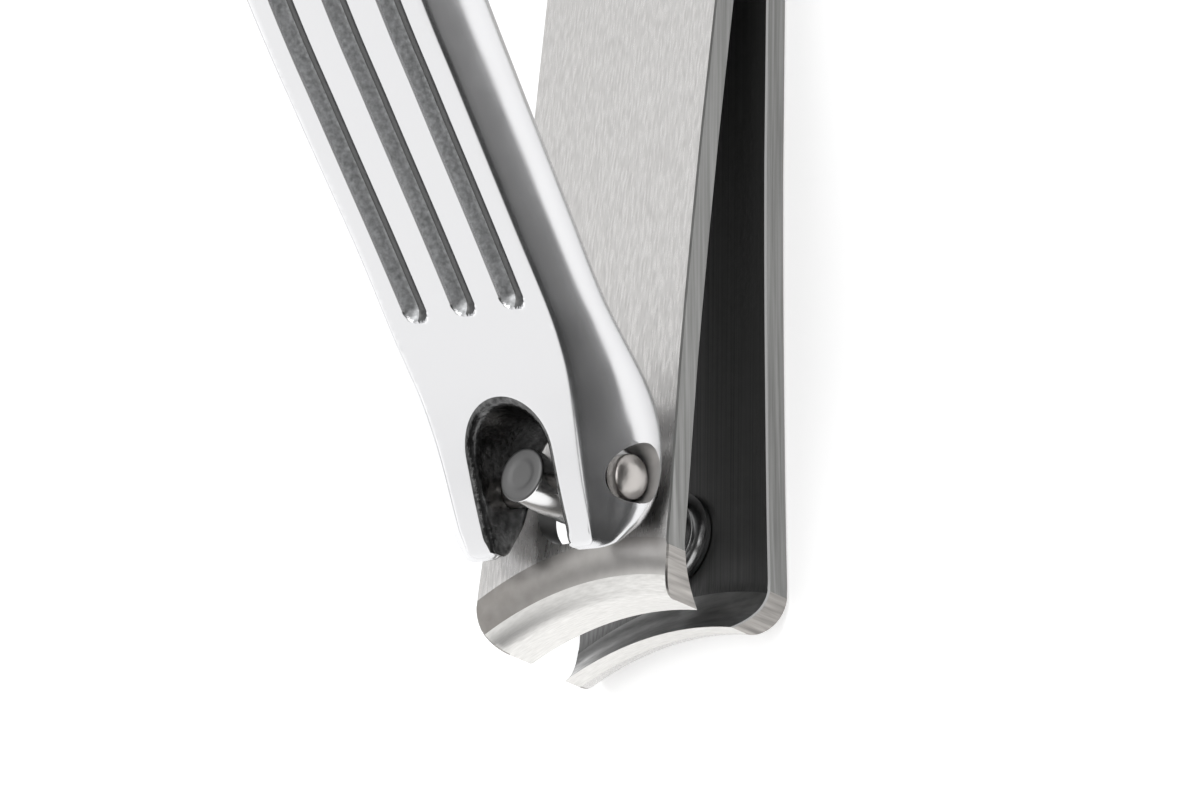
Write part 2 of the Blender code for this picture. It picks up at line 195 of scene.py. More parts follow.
def make_floor(material):
    bm = bmesh.new()
    half = FLOOR_HALF_SIDE
    corners = ((-half, -half), (half, -half), (half, half), (-half, half))
    bm.faces.new([bm.verts.new((x, y, 0.0)) for x, y in corners])
    mesh = bpy.data.meshes.new("floor")
    bm.to_mesh(mesh)
    bm.free()
    mesh.materials.append(material)
    floor = bpy.data.objects.new("floor", mesh)
    floor.location.z = cad_box[0][2] - FLOOR_GAP
    bpy.context.scene.collection.objects.link(floor)


# Finishes ------------------------------------------------------------------------------------

# The range that most of a noise texture's values lie in
NOISE_RANGE = (0.3, 0.7)
# How much of the belly's tint comes from its place across the arm, and how much from grain
TINT_FROM_PLACE = 0.8
TINT_FROM_GRAIN = 0.2
# How much rougher and smoother than its usual roughness a brushed finish gets
ROUGHER = 0.06
SMOOTHER = 0.04
# Brushed finishes: light and dark colour, roughness, grain along each axis in features per
# millimetre, and its depth in millimetres
BRUSHED_FINISHES = {
    "brushed_steel": ((0.70, 0.69, 0.68), (0.58, 0.57, 0.56), 0.28, (0.02, 9.0, 9.0), 0.0012),
    # a darker copy of the brushed steel for the arms' sides and rear ends: painted shade
    "side_steel_painted_shade": ((0.31, 0.31, 0.305), (0.19, 0.19, 0.185), 0.36, (0.1, 5.0, 5.0), 0.0012),
    "ground_steel": ((0.84, 0.83, 0.81), (0.72, 0.71, 0.69), 0.46, (1.5, 1.5, 14.0), 0.0012),
    "cross_ground_steel": ((0.44, 0.42, 0.40), (0.24, 0.23, 0.22), 0.34, (6.0, 0.8, 0.25), 0.003),
    # a darker copy of the brushed steel for the arms' inner faces: painted shade between the arms
    "inner_steel_painted_shade": ((0.24, 0.24, 0.24), (0.16, 0.16, 0.16), 0.40, (0.05, 9.0, 9.0), 0.0012),
    "hollow_steel": ((0.50, 0.50, 0.50), (0.28, 0.28, 0.28), 0.34, (2.0, 0.6, 2.0), 0.003),
}
# Grained finishes: colour, (dark, light) colours where the grain tints it, roughness, and the
# grain's features per millimetre, detail and depth in millimetres
GRAINED_FINISHES = {
    "turned_grey": ((0.17, 0.17, 0.17), None, 0.5, 3.0, 3.0, 0.004),
    # bright steel of the rivets and the post's shank, also put on the arms' inner arrises as a painted
    # highlight
    "bright_steel_and_edge_highlight": ((0.78, 0.78, 0.78), None, 0.16, 2.0, 3.0, 0.002),
    "sink_cast": ((0.80, 0.80, 0.80), None, 0.42, 1.8, 4.0, 0.03),
    "pin_steel": ((0.50, 0.475, 0.455), None, 0.30, 2.0, 4.0, 0.03),
    "groove_cast": ((0.50, 0.50, 0.50), ((0.34, 0.345, 0.35), (0.66, 0.67, 0.68)), 0.48, 4.0, 5.0, 0.02),
    # the grooves' right parts: a near-black finish that stands in for their shade, painted shade
    "groove_painted_shade": ((0.14, 0.14, 0.14), None, 0.35, 4.0, 5.0, 0.02),
    # the walls of the slot and of the pin's bore: a near-black finish that stands in for the shade inside
    # them, painted shade
    "slot_painted_shade": ((0.10, 0.10, 0.10), ((0.05, 0.05, 0.05), (0.16, 0.16, 0.16)), 0.24, 2.6, 5.0, 0.06),
}
# Plain finishes: colour and roughness
PLAIN_FINISHES = {
    # the collar's steel, darkened to stand in for the shade in the gap between the arms: painted shade
    "collar_painted_shade_steel": ((0.34, 0.34, 0.34), 0.18),
    "bore_steel": ((0.55, 0.55, 0.55), 0.3),
}
# The finishes in each piece's material slots, and a name for the place of each
BLADE_FINISHES = (
    "brushed_steel",
    "side_steel_painted_shade",
    "ground_steel",
    "bore_steel",
    "inner_steel_painted_shade",
    "hollow_steel",
    "belly_steel",
    "cross_ground_steel",
    "bright_steel_and_edge_highlight",
)
BRUSHED, SIDE, GROUND, BORE, INNER, HOLLOW, BELLY, CROSS_GROUND, BRIGHT = range(9)
LEVER_FINISHES = ("lever_chrome", "groove_cast", "slot_painted_shade", "sink_cast", "groove_painted_shade")
CHROME, GROOVE, SLOT, SINK, PAINTED_SHADE_GROOVE = range(5)
POST_FINISHES = ("turned_grey", "bright_steel_and_edge_highlight")
POST_BRIGHT = 1


class Finish:
    """A material with short helpers for its nodes."""

    def __init__(self, name, colour, roughness, metallic=1.0):
        self.material = bpy.data.materials.new(name)
        self.material.use_nodes = True
        self.nodes = self.material.node_tree.nodes
        self.links = self.material.node_tree.links
        self.shader = self.nodes["Principled BSDF"]
        self.shader.inputs["Base Color"].default_value = (*colour, 1.0)
        self.shader.inputs["Metallic"].default_value = metallic
        self.shader.inputs["Roughness"].default_value = roughness
        self.where = self.nodes.new("ShaderNodeTexCoord")

    def grain(self, scale, detail=3.0):
        """Noise stretched by a scale per axis, in features per millimetre."""
        mapping = self.nodes.new("ShaderNodeMapping")
        mapping.inputs["Scale"].default_value = [value / MM for value in scale]
        self.links.new(self.where.outputs["Object"], mapping.inputs["Vector"])
        noise = self.nodes.new("ShaderNodeTexNoise")
        noise.inputs["Scale"].default_value = 1.0
        noise.inputs["Detail"].default_value = detail
        self.links.new(mapping.outputs["Vector"], noise.inputs["Vector"])
        return noise.outputs["Fac"]

    def along_y(self, start, end):
        """0 to 1 across the piece, from one Y to another in metres, with some noise."""
        split = self.nodes.new("ShaderNodeSeparateXYZ")
        self.links.new(self.where.outputs["Object"], split.inputs["Vector"])
        share = self.spread(split.outputs["Y"], 0.0, TINT_FROM_PLACE, start, end)
        noise = self.spread(self.grain((1.2, 1.2, 1.2), 4.0), 0.0, TINT_FROM_GRAIN)
        add = self.nodes.new("ShaderNodeMath")
        add.operation = "ADD"
        self.links.new(share, add.inputs[0])
        self.links.new(noise, add.inputs[1])
        return add.outputs["Value"]

    def spread(self, value, low, high, start=NOISE_RANGE[0], end=NOISE_RANGE[1]):
        """A value from start to end turned into one from low to high."""
        node = self.nodes.new("ShaderNodeMapRange")
        node.inputs["From Min"].default_value = start
        node.inputs["From Max"].default_value = end
        node.inputs["To Min"].default_value = low
        node.inputs["To Max"].default_value = high
        self.links.new(value, node.inputs["Value"])
        return node.outputs["Result"]

    def tint(self, value, dark, light):
        """Base colour between two colours, by a value from 0 to 1."""
        node = self.nodes.new("ShaderNodeMix")
        node.data_type = "RGBA"
        node.inputs["A"].default_value = (*dark, 1.0)
        node.inputs["B"].default_value = (*light, 1.0)
        self.links.new(value, node.inputs["Factor"])
        self.links.new(node.outputs["Result"], self.shader.inputs["Base Color"])

    def rough(self, value):
        self.links.new(value, self.shader.inputs["Roughness"])

    def bump(self, value, depth):
        """Raised grain, with its depth in millimetres."""
        node = self.nodes.new("ShaderNodeBump")
        node.inputs["Distance"].default_value = depth * MM
        self.links.new(value, node.inputs["Height"])
        self.links.new(node.outputs["Normal"], self.shader.inputs["Normal"])


def brushed_finish(name, light, dark, roughness, scale, depth):
    finish = Finish(name, light, roughness)
    fine = finish.grain(scale, 4.0)
    finish.tint(finish.spread(fine, 0.0, 1.0), dark, light)
    finish.rough(finish.spread(fine, roughness + ROUGHER, roughness - SMOOTHER))
    finish.bump(fine, depth)
    return finish.material


def grained_finish(name, colour, tints, roughness, features, detail, depth):
    finish = Finish(name, colour, roughness)
    grain = finish.grain((features, features, features), detail)
    if tints:
        finish.tint(finish.spread(grain, 0.0, 1.0), *tints)
    finish.bump(grain, depth)
    return finish.material


def chrome_finish():
    """Satin to bright chrome, in soft clouds."""
    finish = Finish("lever_chrome", (0.72, 0.72, 0.73), 0.2)
    finish.rough(finish.spread(finish.grain((0.5, 0.5, 0.5), 3.0), 0.21, 0.27))
    return finish.material


def belly_finish():
    """The upper jaw's curved face, darker towards its left."""
    finish = Finish("belly_steel", (0.40, 0.385, 0.37), 0.36)
    finish.tint(finish.along_y(-0.006, 0.005), (0.27, 0.255, 0.24), (0.56, 0.545, 0.53))
    finish.bump(finish.grain((1.5, 1.5, 1.5), 5.0), 0.006)
    return finish.material


def floor_finish():
    """Pale and slightly glowing, so that it stays near white away from the light."""
    finish = Finish("pale_floor", (0.86, 0.86, 0.86), 0.9, 0.0)
    cloud = finish.spread(finish.grain((0.01, 0.01, 0.01)), 0.0, 1.0)
    finish.tint(cloud, (0.85, 0.85, 0.85), (0.87, 0.87, 0.87))
    finish.shader.inputs["Emission Color"].default_value = (1.0, 1.0, 1.0, 1.0)
    finish.shader.inputs["Emission Strength"].default_value = 0.5
    return finish.material


def make_finishes():
    finishes = {name: brushed_finish(name, *values) for name, values in BRUSHED_FINISHES.items()}
    for name, values in GRAINED_FINISHES.items():
        finishes[name] = grained_finish(name, *values)
    for name, (colour, roughness) in PLAIN_FINISHES.items():
        finishes[name] = Finish(name, colour, roughness).material
    finishes["lever_chrome"] = chrome_finish()
    finishes["belly_steel"] = belly_finish()
    finishes["pale_floor"] = floor_finish()
    return finishes


# Lever, in the plane of its own length, measured from the cross pin --------------------------

LEVER_SWIVEL = 9.8
POST_X = 32.0
PIN_Z = 11.05
# Stations from nose to tail, each with the values named below; a distance along is added later
LEVER_STATIONS = (
    (3.68, 0.50, 3.66, 0.20, 4.30, 4.80),
    (3.30, 0.92, 3.25, -0.45, 4.50, 5.50),
    (2.60, 1.38, 2.45, -0.92, 4.55, 6.10),
    (1.10, 2.25, 1.30, -1.38, 4.66, 6.50),
    (-0.50, 3.10, -0.20, -1.56, 4.82, 6.68),
    (-2.00, 3.92, -1.60, -1.53, 5.02, 6.62),
    (-3.60, 4.92, -3.28, -1.10, 5.28, 6.48),
    (-4.90, 5.95, -5.10, 0.30, 5.48, 6.38),
    (-6.60, 7.50, -8.20, 3.75, 5.62, 6.15),
    (-10.00, 10.80, -11.95, 7.05, 5.62, 6.02),
    (-15.10, 15.90, -16.90, 11.55, 5.78, 5.95),
    (-20.30, 20.95, -22.20, 16.40, 5.90, 5.95),
    (-32.00, 31.20, -33.80, 27.20, 6.25, 6.20),
    (-42.00, 37.70, -43.40, 34.20, 6.50, 6.45),
    (-49.00, 41.10, -49.90, 38.30, 6.30, 6.25),
    (-51.80, 42.30, -52.30, 40.10, 4.80, 4.70),
)
TOP_X, TOP_Z, LOW_X, LOW_Z, TOP_HALF, LOW_HALF, ALONG = range(7)
STATION_STEPS = 10
DIRECTION_REACH = 0.15
TOP_ROUND = 0.42
BOTTOM_ROUND = 0.4
NOSE_ROUND = 0.24
NOSE_ROUND_ALONG = (0.4, 2.6)
ROUND_SHARE = 0.42
# Right half of a section 4.4 mm deep: depth below the top, and how far outside the straight side
SIDE_DEPTH = 4.4
SIDE_PROFILE = (
    (0.00, -0.22),
    (0.015, -0.12),
    (0.06, -0.01),
    (0.18, 0.12),
    (0.40, 0.31),
    (0.65, 0.52),
    (0.95, 0.75),
    (1.20, 0.92),
    (1.40, 1.03),
    (1.60, 1.10),
    (1.90, 1.15),
    (2.30, 1.12),
    (2.80, 0.94),
    (3.30, 0.64),
    (3.80, 0.24),
    (4.15, -0.10),
    (4.33, -0.36),
    (4.40, -0.66),
)
# The side's bulge near its top is smaller at the nose, and all of it is smaller at the tail
NOSE_BULGE = 0.45
NOSE_BULGE_ALONG = (3.5, 9.0)
NOSE_BULGE_DEPTH = (1.2, 3.0)
TAIL_BULGE_LOSS = 0.4
TAIL_BULGE_ALONG = (30.0, 50.0)
# Steps of the slot's wall: its top round, its flat and its lower round, one point for each of the side's
SLOT_TOP_STEPS = 6
SLOT_FLAT_STEPS = 7
SLOT_LOW_STEPS = 4
# Points of the outline along the sides and round the slot
SIDE_FROM_NOSE = 1.6
SIDE_TO_TAIL = 2.6
SIDE_STEPS = 110
SLOT_FROM_NOSE = 0.5
SLOT_STEPS = 22
SLOT_ARC_STEPS = 28
SLOT_HALF = 2.6
SLOT_REAR_X = -3.0
SLOT_REAR_LOW_X = -3.5
SLOT_MARGIN = 0.01
PRONG_CORNER = 0.6
SLOT_CORNER = 0.3
TAIL_CORNER = 2.2
CORNER_STEPS = 8
GROOVE_PITCH = 3.4
GROOVE_SPREAD = 0.14
GROOVE_FRONT_X = -7.3
GROOVE_REAR_X = -47.0
GROOVE_RADIUS = 0.82
GROOVE_DEPTH = 0.6
GROOVE_LIP = 0.14
# A face of the top is a groove's where it is sunk by more than this on average, and gets the
# groove's painted shade, a dark finish standing in for the shade on its right part, where it is further
# right of the groove's middle than this
GROOVED_DEPTH = 0.09
PAINTED_SHADE_OFFSET = -0.2
# Points that cover the top: across a groove from its middle, and out at the sides
GROOVE_COLUMNS = (-1.05, -0.97, -0.9, -0.83, -0.75, -0.6, -0.42, -0.2, 0.0)
SIDE_COLUMNS = (4.75, 4.95, 5.15, 5.35, 5.55, 5.75)
# and along it in stretches, each from a place and an offset to another, in so many steps
TOP_STRETCHES = (
    ("nose", 0.4, "front", -1.4, 34),
    ("front", -1.3, "front", 0.4, 17),
    ("front", 0.9, "rear", -0.9, 90),
    ("rear", -0.4, "rear", 1.3, 17),
    ("rear", 1.8, "tail", -0.5, 6),
)
TOP_CLEARANCE = 0.16
UNDER_CLEARANCE = 0.4
UNDER_MARGIN = 0.8
UNDER_HALF = 5.2
UNDER_STEPS = (90, 6)
# Settings of the triangulation: keep only the inside of the outline, and join nearer points
FILL_INSIDE = 1
FILL_EPSILON = 1e-7


def lever_rows():
    """Sections of the lever, close together, each with its distance along the top from the nose."""
    stations = LEVER_STATIONS
    padded = (stations[0],) + stations + (stations[-1],)
    rows = []
    for i in range(len(stations) - 1):
        knots = padded[i : i + 4]
        for step in range(STATION_STEPS):
            rows.append([catmull_rom(*values, step / STATION_STEPS) for values in zip(*knots)])
    rows.append(list(stations[-1]))
    along = 0.0
    for i, row in enumerate(rows):
        if i:
            before = rows[i - 1]
            along += math.hypot(row[TOP_X] - before[TOP_X], row[TOP_Z] - before[TOP_Z])
        row.append(along)
    return rows


class LeverShape:
    """Places a point of the lever's top or underside, given how far along and across it is."""

    def __init__(self):
        self.rows = lever_rows()
        self.length = self.rows[-1][ALONG]

    def at(self, along):
        """The section at a distance along the top."""
        rows = self.rows
        along = min(max(along, 0.0), self.length)
        low, high = 0, len(rows) - 1
        while high - low > 1:
            middle = (low + high) // 2
            if rows[middle][ALONG] > along:
                high = middle
            else:
                low = middle
        share = (along - rows[low][ALONG]) / (rows[high][ALONG] - rows[low][ALONG])
        return [a + (b - a) * share for a, b in zip(rows[low], rows[high])]

    def along_at_x(self, x, column=TOP_X):
        """Distance along the top of the section whose top or underside is at x."""
        for before, after in zip(self.rows, self.rows[1:]):
            if before[column] >= x > after[column]:
                share = (before[column] - x) / (before[column] - after[column])
                return before[ALONG] + (after[ALONG] - before[ALONG]) * share
        return self.length

    def tangent(self, along):
        """Direction of the top surface towards the tail."""
        ahead = self.at(along - DIRECTION_REACH)
        behind = self.at(along + DIRECTION_REACH)
        return Vector((behind[TOP_X] - ahead[TOP_X], 0.0, behind[TOP_Z] - ahead[TOP_Z])).normalized()

    def top(self, along, across, lift=0.0):
        row = self.at(along)
        point = Vector((row[TOP_X], across, row[TOP_Z]))
        if not lift:
            return point
        tangent = self.tangent(along)
        return point + Vector((tangent.z, 0.0, -tangent.x)) * lift

    def low(self, along, across):
        row = self.at(along)
        return Vector((row[LOW_X], across, row[LOW_Z]))


def round_corners(outline, radii):
    """A closed outline with an arc of its own radius at each corner that has one."""
    points = []
    count = len(outline)
    for i, (corner, radius) in enumerate(zip(outline, radii)):
        if not radius:
            points.append(corner)
            continue
        before = (outline[i - 1] - corner).normalized()
        after = (outline[(i + 1) % count] - corner).normalized()
        opening = before.angle(after)
        reach = radius / math.tan(opening / 2)
        centre = corner + (before + after).normalized() * (radius / math.sin(opening / 2))
        start = corner + before * reach - centre
        end = corner + after * reach - centre
        for t in spaced(0.0, 1.0, CORNER_STEPS):
            points.append(centre + (start * (1 - t) + end * t).normalized() * radius)
    return points


def lever_outline(shape):
    """The lever's closed outline as (along, across): right side, tail, left side and slot."""
    rear = shape.along_at_x(SLOT_REAR_X)
    centre = rear - SLOT_HALF
    side = spaced(SIDE_FROM_NOSE, shape.length - SIDE_TO_TAIL, SIDE_STEPS)
    right = [Vector((u, shape.at(u)[TOP_HALF])) for u in [0.0] + side + [shape.length]]
    left = [Vector((p.x, -p.y)) for p in reversed(right)]
    run = [0.0] + spaced(SLOT_FROM_NOSE, centre, SLOT_STEPS)[:-1]
    wall = [Vector((u, -SLOT_HALF)) for u in run]
    for angle in spaced(-90.0, 90.0, SLOT_ARC_STEPS):
        turn = math.radians(angle)
        wall.append(Vector((centre + SLOT_HALF * math.cos(turn), SLOT_HALF * math.sin(turn))))
    wall += [Vector((u, SLOT_HALF)) for u in reversed(run)]
    outline = right + left + wall
    radii = [0.0] * len(outline)
    sides_end = 2 * len(right)
    radii[0] = radii[sides_end - 1] = PRONG_CORNER
    radii[sides_end] = radii[-1] = SLOT_CORNER
    radii[len(right) - 1] = radii[len(right)] = TAIL_CORNER
    return round_corners(outline, radii)


def outward_of(points, i):
    """Outward direction of a closed outline that runs with its inside on the right."""
    before, after = points[i - 1], points[(i + 1) % len(points)]
    run = (after - before).normalized()
    return Vector((-run.y, run.x))


def inside_outline(points, x, y):
    inside = False
    for a, b in zip(points, points[1:] + points[:1]):
        if (a.y > y) != (b.y > y) and x < (b.x - a.x) * (y - a.y) / (b.y - a.y) + a.x:
            inside = not inside
    return inside


def clear_of(points, x, y, gap):
    return all((p.x - x) ** 2 + (p.y - y) ** 2 > gap * gap for p in points)


def groove_spread(along, front, rear):
    """How much further apart the grooves are than at their front ends."""
    return 1.0 + GROOVE_SPREAD * clamped((along - front) / (rear - front))


def groove_offset(along, across, front, rear):
    """How far a point of the top is to the right of the middle of its nearest groove."""
    spread = groove_spread(along, front, rear)
    return min((across - i * GROOVE_PITCH * spread for i in (-1, 0, 1)), key=abs)


def groove_sink(along, across, front, rear):
    """How far the top is sunk by the nearest of its three grooves, with a soft lip."""
    past = max(front - along, along - rear, 0.0)
    away = math.hypot(past, groove_offset(along, across, front, rear))
    floor = GROOVE_RADIUS - GROOVE_DEPTH
    sink = math.sqrt(max(0.0, GROOVE_RADIUS**2 - away * away)) - floor
    if sink < -GROOVE_LIP:
        return 0.0
    if sink > GROOVE_LIP:
        return sink
    return (sink + GROOVE_LIP) ** 2 / (4 * GROOVE_LIP)


def top_grid(shape, front, rear):
    """(along, across) of the points that cover the top, close together over the grooves."""
    near = GROOVE_COLUMNS + tuple(-value for value in reversed(GROOVE_COLUMNS[:-1]))
    places = {"nose": 0.0, "front": front, "rear": rear, "tail": shape.length}
    rows = []
    for start, start_offset, end, end_offset, steps in TOP_STRETCHES:
        rows += spaced(places[start] + start_offset, places[end] + end_offset, steps)
    grid = []
    for along in rows:
        pitch = GROOVE_PITCH * groove_spread(along, front, rear)
        columns = [i * pitch + value for i in (-1, 0, 1) for value in near]
        columns += [side * pitch * 0.5 for side in (-1, 1)]
        columns += [side * value for side in (-1, 1) for value in SIDE_COLUMNS]
        grid += [(along, across) for across in columns]
    return grid


def fill_outline(loop, extra):
    """Triangles that cover a closed outline through its own points and the extra ones inside."""
    count = len(loop)
    verts = [Vector((p.x, p.y)) for p in loop] + [Vector(p) for p in extra]
    edges = [(i, (i + 1) % count) for i in range(count)]
    filled = geometry.delaunay_2d_cdt(verts, edges, [], FILL_INSIDE, FILL_EPSILON)
    faces, origins = filled[2], filled[3]
    names = [ids[0] if ids else -1 for ids in origins]
    return [tuple(names[i] for i in face) for face in faces if min(names[i] for i in face) >= 0]


def side_section(height, along):
    """(depth, outward) points down the lever's rounded side."""
    scale = height / SIDE_DEPTH
    size = min(1.0, scale)
    upper = NOSE_BULGE + (1.0 - NOSE_BULGE) * smoothstep(*NOSE_BULGE_ALONG, along)
    tail = 1.0 - TAIL_BULGE_LOSS * smoothstep(*TAIL_BULGE_ALONG, along)
    points = []
    for depth, out in SIDE_PROFILE:
        bulge = 1.0
        if out > 0:
            bulge = tail * (upper + (1.0 - upper) * smoothstep(*NOSE_BULGE_DEPTH, depth))
        points.append((depth * scale, out * size * bulge))
    return points


def slot_section(height, r_top, r_low):
    """(depth, outward) points down the slot's flat wall, with as many points as the side has."""
    points = []
    for turn in spaced(0.0, math.pi / 2, SLOT_TOP_STEPS):
        points.append((r_top * (1 - math.cos(turn)), -r_top * (1 - math.sin(turn))))
    for share in spaced(0.0, 1.0, SLOT_FLAT_STEPS)[1:-1]:
        points.append((r_top + (height - r_top - r_low) * share, 0.0))
    for turn in spaced(0.0, math.pi / 2, SLOT_LOW_STEPS):
        points.append((height - r_low * (1 - math.sin(turn)), -r_low * (1 - math.cos(turn))))
    return points


def wall_column(shape, point, out, slot_rear, slot_low):
    """Points down the lever's wall at one point of its outline.

    The edges of the top and of the underside there, and whether it is the slot's wall, come with them.
    """
    in_slot = abs(point.y) < SLOT_HALF + SLOT_MARGIN and point.x < slot_rear + SLOT_MARGIN
    top = shape.top(point.x, point.y)
    if in_slot:
        low_along = point.x + (slot_low - slot_rear) * clamped(point.x / slot_rear)
        low_across = point.y
    else:
        row = shape.at(point.x)
        low_along, low_across = point.x, point.y * row[LOW_HALF] / row[TOP_HALF]
    wall = shape.low(low_along, low_across) - top
    height = wall.length
    wall.normalize()
    outward = (shape.tangent(point.x) * out.x + Vector((0.0, out.y, 0.0))).normalized()
    if in_slot:
        near_nose = NOSE_ROUND + smoothstep(*NOSE_ROUND_ALONG, point.x)
        r_top = min(TOP_ROUND, ROUND_SHARE * height, near_nose)
        r_low = min(BOTTOM_ROUND, ROUND_SHARE * height, near_nose)
        section = slot_section(height, r_top, r_low)
    else:
        section = side_section(height, point.x)
        r_top, r_low = -section[0][1], -section[-1][1]
    column = [top + wall * depth + outward * out_by for depth, out_by in section]
    top_edge = Vector((point.x - out.x * r_top, point.y - out.y * r_top))
    low_edge = Vector((low_along - out.x * r_low, low_across - out.y * r_low))
    return column, top_edge, low_edge, in_slot


def cover_top(bm, shape, ring, outline):
    """The grooved top, inside the ring of vertices at its edge."""
    front, rear = shape.along_at_x(GROOVE_FRONT_X), shape.along_at_x(GROOVE_REAR_X)
    inner = [
        Vector(p)
        for p in top_grid(shape, front, rear)
        if inside_outline(outline, *p) and clear_of(outline, *p, TOP_CLEARANCE)
    ]
    sinks = [groove_sink(u, y, front, rear) for u, y in inner]
    verts = ring + [bm.verts.new(shape.top(u, y, -sink) * MM) for (u, y), sink in zip(inner, sinks)]
    depths = [0.0] * len(ring) + sinks
    places = outline + inner
    for corners in fill_outline(outline, inner):
        face = bm.faces.new([verts[i] for i in corners])
        if sum(depths[i] for i in corners) / 3 > GROOVED_DEPTH:
            middle = sum((places[i] for i in corners), Vector((0.0, 0.0))) / 3
            offset = groove_offset(*middle, front, rear)
            # faces right of a groove's middle get its painted shade, the rest get the groove's own grey
            face.material_index = PAINTED_SHADE_GROOVE if offset > PAINTED_SHADE_OFFSET else GROOVE


def cover_underside(bm, shape, ring, outline):
    """The plain underside, inside the ring of vertices at its edge."""
    runs = spaced(UNDER_MARGIN, shape.length - UNDER_MARGIN, UNDER_STEPS[0])
    grid = [(u, y) for u in runs for y in spaced(-UNDER_HALF, UNDER_HALF, UNDER_STEPS[1])]
    inner = [p for p in grid if inside_outline(outline, *p) and clear_of(outline, *p, UNDER_CLEARANCE)]
    verts = ring + [bm.verts.new(shape.low(u, y) * MM) for u, y in inner]
    for corners in fill_outline(outline, inner):
        bm.faces.new([verts[i] for i in corners])


def lever_mesh():
    shape = LeverShape()
    outline = lever_outline(shape)
    slot_rear = shape.along_at_x(SLOT_REAR_X)
    slot_low = shape.along_at_x(SLOT_REAR_LOW_X, LOW_X)
    bm = bmesh.new()
    columns, top_outline, low_outline, in_slot = [], [], [], []
    for i, point in enumerate(outline):
        out = outward_of(outline, i)
        column, top_edge, low_edge, slot = wall_column(shape, point, out, slot_rear, slot_low)
        columns.append([bm.verts.new(p * MM) for p in column])
        top_outline.append(top_edge)
        low_outline.append(low_edge)
        in_slot.append(slot)
    for i in range(len(outline)):
        j = (i + 1) % len(outline)
        for corners in zip(columns[i], columns[j], columns[j][1:], columns[i][1:]):
            # the slot's walls get the dark slot finish, painted shade
            bm.faces.new(corners).material_index = SLOT if in_slot[i] and in_slot[j] else CHROME
    cover_top(bm, shape, [column[0] for column in columns], top_outline)
    cover_underside(bm, shape, [column[-1] for column in columns], low_outline)
    bmesh.ops.recalc_face_normals(bm, faces=bm.faces)
    return bm


# Arms, measured from the post ----------------------------------------------------------------

ARM_REAR = -72.0
ARM_EDGE = 6.0
FLEX_X = -55.0
SEATED_TO = FLEX_X - 5.0
STRAIGHT_FROM = -34.0
RIVETS_X = (-60.0, -65.5)
LOWER_THICKNESS = 1.5
UPPER_THICKNESS = 1.4
ARM_GAP_AT_POST = 6.1
ARM_SLOPE = 0.124
SEAT_GAP = 0.06
WAIST_X = -20.0
WAIST_HALF = 6.23
REAR_SWELL = 0.14
HEAD_FLARE = 0.0007
REAR_CORNER = 4.0
HEAD_CORNER_X = 4.2
HEAD_CORNER_RADIUS = 4.8
HEAD_CORNER_INSET = 0.6
EDGE_RADIUS = 19.0
BOW_ALONG = (-8.0, 1.0)
JAW_START = 2.6
JAW_POWER = 2.2
LOWER_EDGE_Z = 3.45
UPPER_EDGE_Z = 6.0
LOWER_FACET = 1.2
UPPER_FACET = 1.75
UPPER_SETBACK = 0.15
ARM_HOLE_RADIUS = 2.68
SIDE_BREAK = 0.09
SIDE_BREAK_SHARE = 0.3
# Where each finish starts along the arm
HOLLOW_X = 3.4
CROSS_GROUND_X = 3.2
BELLY_X = 3.0
GROUND_X = 5.0
# Points along each stretch of an arm, and across it
REAR_ANGLE = 0.1
REAR_STEPS = 14
SEATED_STEPS = 8
FLEX_STEPS = 30
SHANK_STEPS = 44
HEAD_STEPS = 10
JAW_STEPS = 36
ACROSS_STEPS = 40


def edge_sagitta(y):
    """How far a line across the jaw bows towards the tip at a distance y off the centre."""
    return EDGE_RADIUS - math.sqrt(EDGE_RADIUS**2 - y * y)


def bow(x):
    """Share of the cutting edge's bow that a line across the arm at x has."""
    return smoothstep(*BOW_ALONG, x)


def plain_half_width(x):
    """Half the arm's width at x, without its rounded ends."""
    if x > WAIST_X:
        return WAIST_HALF + HEAD_FLARE * (x - WAIST_X) ** 2
    return WAIST_HALF + REAR_SWELL * math.sin(math.pi * (WAIST_X - x) / (WAIST_X - ARM_REAR))


def half_width(x):
    """Half the arm's width where the line across it meets the centre at x."""
    if x < ARM_REAR + REAR_CORNER:
        into = ARM_REAR + REAR_CORNER - x
        return plain_half_width(x) - REAR_CORNER + math.sqrt(REAR_CORNER**2 - into**2)
    side_x = x + bow(x) * edge_sagitta(plain_half_width(x) - HEAD_CORNER_INSET)
    if side_x < HEAD_CORNER_X:
        return plain_half_width(x)
    into = side_x - HEAD_CORNER_X
    drop = HEAD_CORNER_RADIUS - math.sqrt(HEAD_CORNER_RADIUS**2 - into**2)
    return plain_half_width(HEAD_CORNER_X) - drop


def arm_lift(x):
    """Gap between the arms' inner faces, which opens from the riveted rear towards the tip."""
    if x >= STRAIGHT_FROM:
        return ARM_GAP_AT_POST + ARM_SLOPE * x
    if x <= SEATED_TO:
        return SEAT_GAP
    span = STRAIGHT_FROM - SEATED_TO
    t = (x - SEATED_TO) / span
    height = ARM_GAP_AT_POST + ARM_SLOPE * STRAIGHT_FROM - SEAT_GAP
    return SEAT_GAP + height * (3 * t**2 - 2 * t**3) + ARM_SLOPE * span * (t**3 - t**2)


def jaw_shares(x):
    """How far the jaw's inner face and its outer face have come at x, each from 0 to 1."""
    t = (x - JAW_START) / (ARM_EDGE - JAW_START)
    return t**JAW_POWER, 1 - math.sqrt(max(0.0, 1 - t * t))


def lower_heights(x):
    """Bottom and top of the lower blade at x."""
    bottom, top = 0.0, LOWER_THICKNESS
    if x > JAW_START:
        inner_share, outer_share = jaw_shares(x)
        bottom = (LOWER_EDGE_Z - LOWER_FACET) * outer_share
        top += (LOWER_EDGE_Z - LOWER_THICKNESS) * inner_share
    return bottom, top


